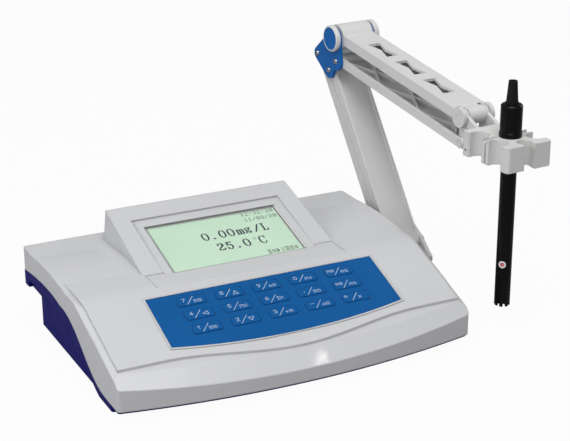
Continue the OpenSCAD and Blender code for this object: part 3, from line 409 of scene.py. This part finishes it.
# each key's signs left of the slash, then those right of it
LEGENDS = [
    ("7", "bars box"), ("8", "up"), ("9", "posts ring"), ("0", "gate plus"), ("gate box", "ring bars"),
    ("4", "left"), ("5", "gate bars"), ("6", "right"), ("dot", "box turn"), ("bars box", "gate turn"),
    ("1", "box bars"), ("2", "down"), ("3", "plus gate"), ("minus", "posts box"), ("gate", "cross"),
]


def plane_at(middle, up, normal):
    """The matrix of a plane with x along the world's, y along up, and its origin at middle."""
    plane = Matrix((Vector((1, 0, 0)), up, normal)).transposed().to_4x4()
    plane.translation = middle
    return plane


def key_plane(node):
    """The plane of a key's top: x along the key, y up the slope, origin at the key's middle."""
    points = [v.co for v in NODES[node].data.vertices]
    high = max(p.dot(KEY_NORMAL) for p in points)
    top = [p for p in points if p.dot(KEY_NORMAL) > high - FLAT_TOP * MM]
    middle = Vector([(min(p[i] for p in top) + max(p[i] for p in top)) / 2 for i in range(3)])
    return plane_at(middle, KEY_NORMAL.cross(Vector((1, 0, 0))), KEY_NORMAL)


def add_signs(marks, names, alone, row, step):
    if len(names) == 1 and names[0] not in SMALL_SIGNS:
        sign(marks, names[0], *alone)
        return
    x, *others = row
    for i, name in enumerate(names):
        sign(marks, name, x + step * i, *others)


def add_legends():
    for i, (left, right) in enumerate(LEGENDS):
        node = f"key_{i + 1}"
        marks = Marks(f"legend_{i + 1}", key_plane(node), LEGEND_HEIGHT)
        add_signs(marks, left.split(), LEFT_ALONE, LEFT_ROW, LEFT_STEP)
        marks.stroke(SLASH, SLASH_WIDTH)
        add_signs(marks, right.split(), RIGHT_ALONE, RIGHT_ROW, RIGHT_STEP)
        marks.build(node, MATERIALS["legend"])


# ---------------------------------------------------------------- display dots

DISPLAY_TILT = math.radians(15.3)


def sheet(names, drawing):
    """Takes a drawing of characters side by side apart, into a list of rows for each one."""
    columns = zip(*(line.split() for line in drawing.strip().splitlines()))
    return dict(zip(names, columns))


# Large characters, sixteen rows of dots; m and g sit on the same base line
BIG = sheet(["0", "2", "5", ".", "deg"], """
    ...####... ..#####... .########. .......... .###......
    ..##..##.. .##..###.. .########. .......... #...#.....
    .##....##. ##....###. .##....... .......... #...#.....
    .##....##. ###...###. .##....... .......... .###......
    ##......## .#....###. .##....... .......... ..........
    ##......## ......###. .######... .......... ..........
    ##......## .....###.. .##..###.. .......... ..........
    ##......## ....###... .#....###. .......... ..........
    ##......## ...###.... .......##. .......... ..........
    ##......## ..##...... .......##. .......... ..........
    ##......## .##....... .......##. .......... ..........
    ##......## ##......## ##.....##. .......... ..........
    .##....##. #.......## ###....##. .......... ..........
    .##....##. #########. ##....##.. ...##..... ..........
    ..##..##.. #########. .##..##... ..####.... ..........
    ...####... .......... ..####.... ...##..... ..........
""") | sheet(["m", "g", "/", "L", "C"], """
    ........... .......... .........# ######.... ...#####.#
    ........... .......... ........## ..##...... ..##...###
    ........... .......... ........## ..##...... .##.....##
    ........... .......... .......##. ..##...... .##......#
    ........... ..#####.## .......##. ..##...... ##.......#
    ####.##.##. .##..####. ......##.. ..##...... ##........
    .####.##.## ##....##.. ......##.. ..##...... ##........
    .##..##..## ##....##.. .....##... ..##...... ##........
    .##..##..## .##..##... .....##... ..##...... ##........
    .##..##..## ..####.... ....##.... ..##...... ##........
    .##..##..## .##....... ....##.... ..##...... ##........
    .##..##..## .#######.. ...##..... ..##...... ##.......#
    .##..##..## ..#######. ...##..... ..##....## .##......#
    .##..##..## ##.....##. ..##...... ..##....## .##.....#.
    .##..##..## ##.....##. ..##...... ..##...##. ..##...##.
    ####.##.### .#######.. .##....... #########. ...#####..
""")
# Small characters, five dots wide and seven high
SMALL = sheet(["0", "1", "2", "3", "8", ":", "/", "bat", "rows", "play", "stop", "x"], """
    .###. ..#.. .###. .###. .###. ..... ....# ##### ##### #.... ..... #...#
    #...# .##.. #...# #...# #...# ..#.. ....# #...# ..... ##... ##### .#.#.
    #..## ..#.. ....# ....# #...# ..#.. ...#. #.#.# ##### ###.. #...# ..#..
    #.#.# ..#.. ..##. ..##. .###. ..... ..#.. #.#.# ..... ####. #.#.# ..#..
    ##..# ..#.. .#... ....# #...# ..#.. .#... #.#.# ##### ###.. #...# ..#..
    #...# ..#.. #.... #...# #...# ..#.. #.... #...# ..... ##... ##### .#.#.
    .###. .###. ##### .###. .###. ..... #.... ##### ##### #.... ..... #...#
""")

# The display's lines, in millimetres on window_plane: lower left corner and step between characters
READING_START, READING_STEP = (-17.4, 33.4), 7.45
DEGREES_START, DEGREES_STEP = (-10.0, 17.4), 7.35
RING_START, CELSIUS_START = (21.9, 18.6), (25.9, 17.4)
TIME_START, DATE_START, CLOCK_STEP = (25.4, 56.2), (25.4, 48.6), 3.7
ICONS_START, ICONS_STEP = (26.2, 3.2), 3.9
BIG_DOT, RING_DOT, SMALL_DOT, ICON_DOT = (0.57, 0.62), (0.42, 0.5), (0.56, 0.62), (0.56, 0.72)
DOT_GAP = 0.04
BOLD = 0.2                   # how far each run of large dots reaches past its ends
ICONS = ["rows", "stop", "play", "x", "bat", "rows", "stop"]

PRINT_DROP = 0.1             # the print and the margin start this far under the window
DOT_HEIGHT, EDGE_HEIGHT = 0.04, 0.03
INSET = 0.1                  # from the window's rim to what lies along it
MARGIN, RIGHT_HIGHLIGHT, TOP_SHADOW = 2.5, 1.1, 0.5          # their widths
HIGHLIGHT_ENDS = 0.3, 0.9         # the painted highlight stops this far from the window's lower and upper rim


def glyph(marks, rows, x, y, dot, bold=0.0):
    """A character's rows from its lower left corner (x, y), each unbroken run of dots as one bar."""
    wide, high = dot
    for level, row in enumerate(reversed(rows)):
        low = y + level * high
        for run in re.finditer("#+", row):
            left, right = x + run.start() * wide - bold, x + run.end() * wide - DOT_GAP + bold
            marks.rect(left, low, right, low + high - DOT_GAP)


def text_line(marks, letters, text, start, step, dot, bold=0.0):
    for i, character in enumerate(text):
        glyph(marks, letters[character], start[0] + step * i, start[1], dot, bold)


def span(node, direction):
    """How far a node reaches along a direction, from and to."""
    reach = [v.co.dot(direction) for v in NODES[node].data.vertices]
    return min(reach), max(reach)


def window_plane():
    """The clear window's lower face and its half width, length and thickness in millimetres.

    The plane has x along the window, y up its slope, and its origin mid-way along the lower edge.
    """
    up = Vector((0, math.cos(DISPLAY_TILT), math.sin(DISPLAY_TILT)))
    normal = Vector((0, -math.sin(DISPLAY_TILT), math.cos(DISPLAY_TILT)))
    low, high = span("display_window", up)
    under, over = span("display_window", normal)
    half = span("display_window", Vector((1, 0, 0)))[1]
    plane = plane_at(up * low + normal * under, up, normal)
    return plane, half / MM, (high - low) / MM, (over - under) / MM


def add_display():
    window, half, length, thickness = window_plane()
    plane = window @ Matrix.Translation((0, 0, -PRINT_DROP * MM))
    dots = Marks("display_dots", plane, DOT_HEIGHT)
    text_line(dots, BIG, "0.00mg/L", READING_START, READING_STEP, BIG_DOT, BOLD)
    text_line(dots, BIG, "25.0", DEGREES_START, DEGREES_STEP, BIG_DOT, BOLD)
    glyph(dots, BIG["deg"], *RING_START, RING_DOT)
    glyph(dots, BIG["C"], *CELSIUS_START, BIG_DOT, BOLD)
    dots.build("base", MATERIALS["lcd_ink"])

    faint = Marks("display_small_dots", plane, DOT_HEIGHT)
    text_line(faint, SMALL, "12:32:20", TIME_START, CLOCK_STEP, SMALL_DOT)
    text_line(faint, SMALL, "11/08/20", DATE_START, CLOCK_STEP, SMALL_DOT)
    text_line(faint, SMALL, ICONS, ICONS_START, ICONS_STEP, ICON_DOT)
    faint.build("base", MATERIALS["lcd_faint"])

    # the display's own green margin under the window, then a painted highlight along the right and a
    # painted shadow along the top on its face
    left, right, low, high = INSET - half, half - INSET, INSET, length - INSET
    green = Marks("display_border", plane, DOT_HEIGHT)
    green.rect(left, low, left + MARGIN, high)
    green.rect(left + MARGIN, low, right, low + MARGIN)
    green.rect(left + MARGIN, high - MARGIN, right, high)
    green.rect(right - MARGIN, low + MARGIN, right, high - MARGIN)
    green.build("base", MATERIALS["lcd_margin"])
    face = window @ Matrix.Translation((0, 0, thickness * MM))
    # painted highlight: a pale strip where light catches the window's right rim
    pale = Marks("display_right_highlight", face, EDGE_HEIGHT)
    pale.rect(right - RIGHT_HIGHLIGHT, HIGHLIGHT_ENDS[0], right, length - HIGHLIGHT_ENDS[1])
    pale.build("base", MATERIALS["ring_white"])
    # painted shadow: a dark strip where the bezel shades the window's top edge
    shadow_strip = Marks("display_top_shadow", face, EDGE_HEIGHT)
    shadow_strip.rect(left, high - TOP_SHADOW, right, high)
    shadow_strip.build("base", MATERIALS["painted_top_shadow"])


# ---------------------------------------------------------------- stage


FLOOR_SIZE, FLOOR_AT = 14, (0, 2, -0.0003)
FLOOR_GREY = (0.36, 0.36, 0.37, 1)
FLOOR_WHITENESS = 0.965      # the share of plain white in the floor that the camera sees
WORLD_LIGHT = 0.24


def add_floor():
    """A grey floor that takes soft shadows and is seen nearly white."""
    net = material_net("floor_pale")
    plain = net.add("ShaderNodeBsdfDiffuse", {"Color": FLOOR_GREY})
    glow = net.add("ShaderNodeEmission", {"Color": WHITE, "Strength": 1.0})
    seen = net.add("ShaderNodeLightPath").outputs["Is Camera Ray"]
    material = net.finish(net.mix(net.math("MULTIPLY", seen, FLOOR_WHITENESS), plain, glow))
    bpy.ops.mesh.primitive_plane_add(size=FLOOR_SIZE, location=FLOOR_AT)
    floor = bpy.context.object
    floor.name = "floor"
    floor.data.materials.append(material)


def add_world():
    """Even light from all round, with plain white where the camera sees past the object."""
    world = bpy.data.worlds.new("studio")
    bpy.context.scene.world = world
    net = Net(world, "ShaderNodeOutputWorld")
    light = net.add("ShaderNodeBackground", {"Color": WHITE, "Strength": WORLD_LIGHT})
    white = net.add("ShaderNodeBackground", {"Color": WHITE, "Strength": 1.0})
    path = net.add("ShaderNodeLightPath").outputs
    seen = net.math("MAXIMUM", path["Is Camera Ray"], path["Is Transmission Ray"])
    net.finish(net.mix(seen, light, white))


# name, place, what it points at, size and power
LAMPS = [
    ("top_soft", (-0.2, -0.56, 1.48), (0.05, 0, 0.05), (1.1, 0.9), 19.3),
    ("left_soft", (-0.95, -0.05, 0.52), (-0.1, 0, 0.03), (0.5, 0.4), 3.2),
    ("front_soft", (-0.75, -1.35, 0.55), (0.05, 0, 0.1), (0.6, 0.5), 2.0),
    ("glint", (0.565, -0.573, 1.105), (0.009, -0.115, 0.023), (0.018, 0.010), 0.14),
    ("back_soft", (-0.95, 1.15, 0.8), (0.05, 0, 0.08), (0.8, 0.6), 2.6),
    ("right_soft", (1.25, 0.1, 0.65), (0.1, 0, 0.08), (0.6, 0.5), 2.6),
]


def area_light(name, at, to, size, power):
    data = bpy.data.lights.new(name, "AREA")
    data.shape = "RECTANGLE"
    data.size, data.size_y = size
    data.energy = power
    lamp = bpy.data.objects.new(name, data)
    bpy.context.scene.collection.objects.link(lamp)
    aim = (Vector(to) - Vector(at)).to_track_quat("-Z", "Y").to_matrix().to_4x4()
    lamp.matrix_world = Matrix.Translation(at) @ aim


# ---------------------------------------------------------------- all of it

add_camera()
dress_nodes()
add_legends()
add_display()
add_floor()
add_world()
for lamp in LAMPS:
    area_light(*lamp)
bpy.context.scene.view_settings.view_transform = "Standard"
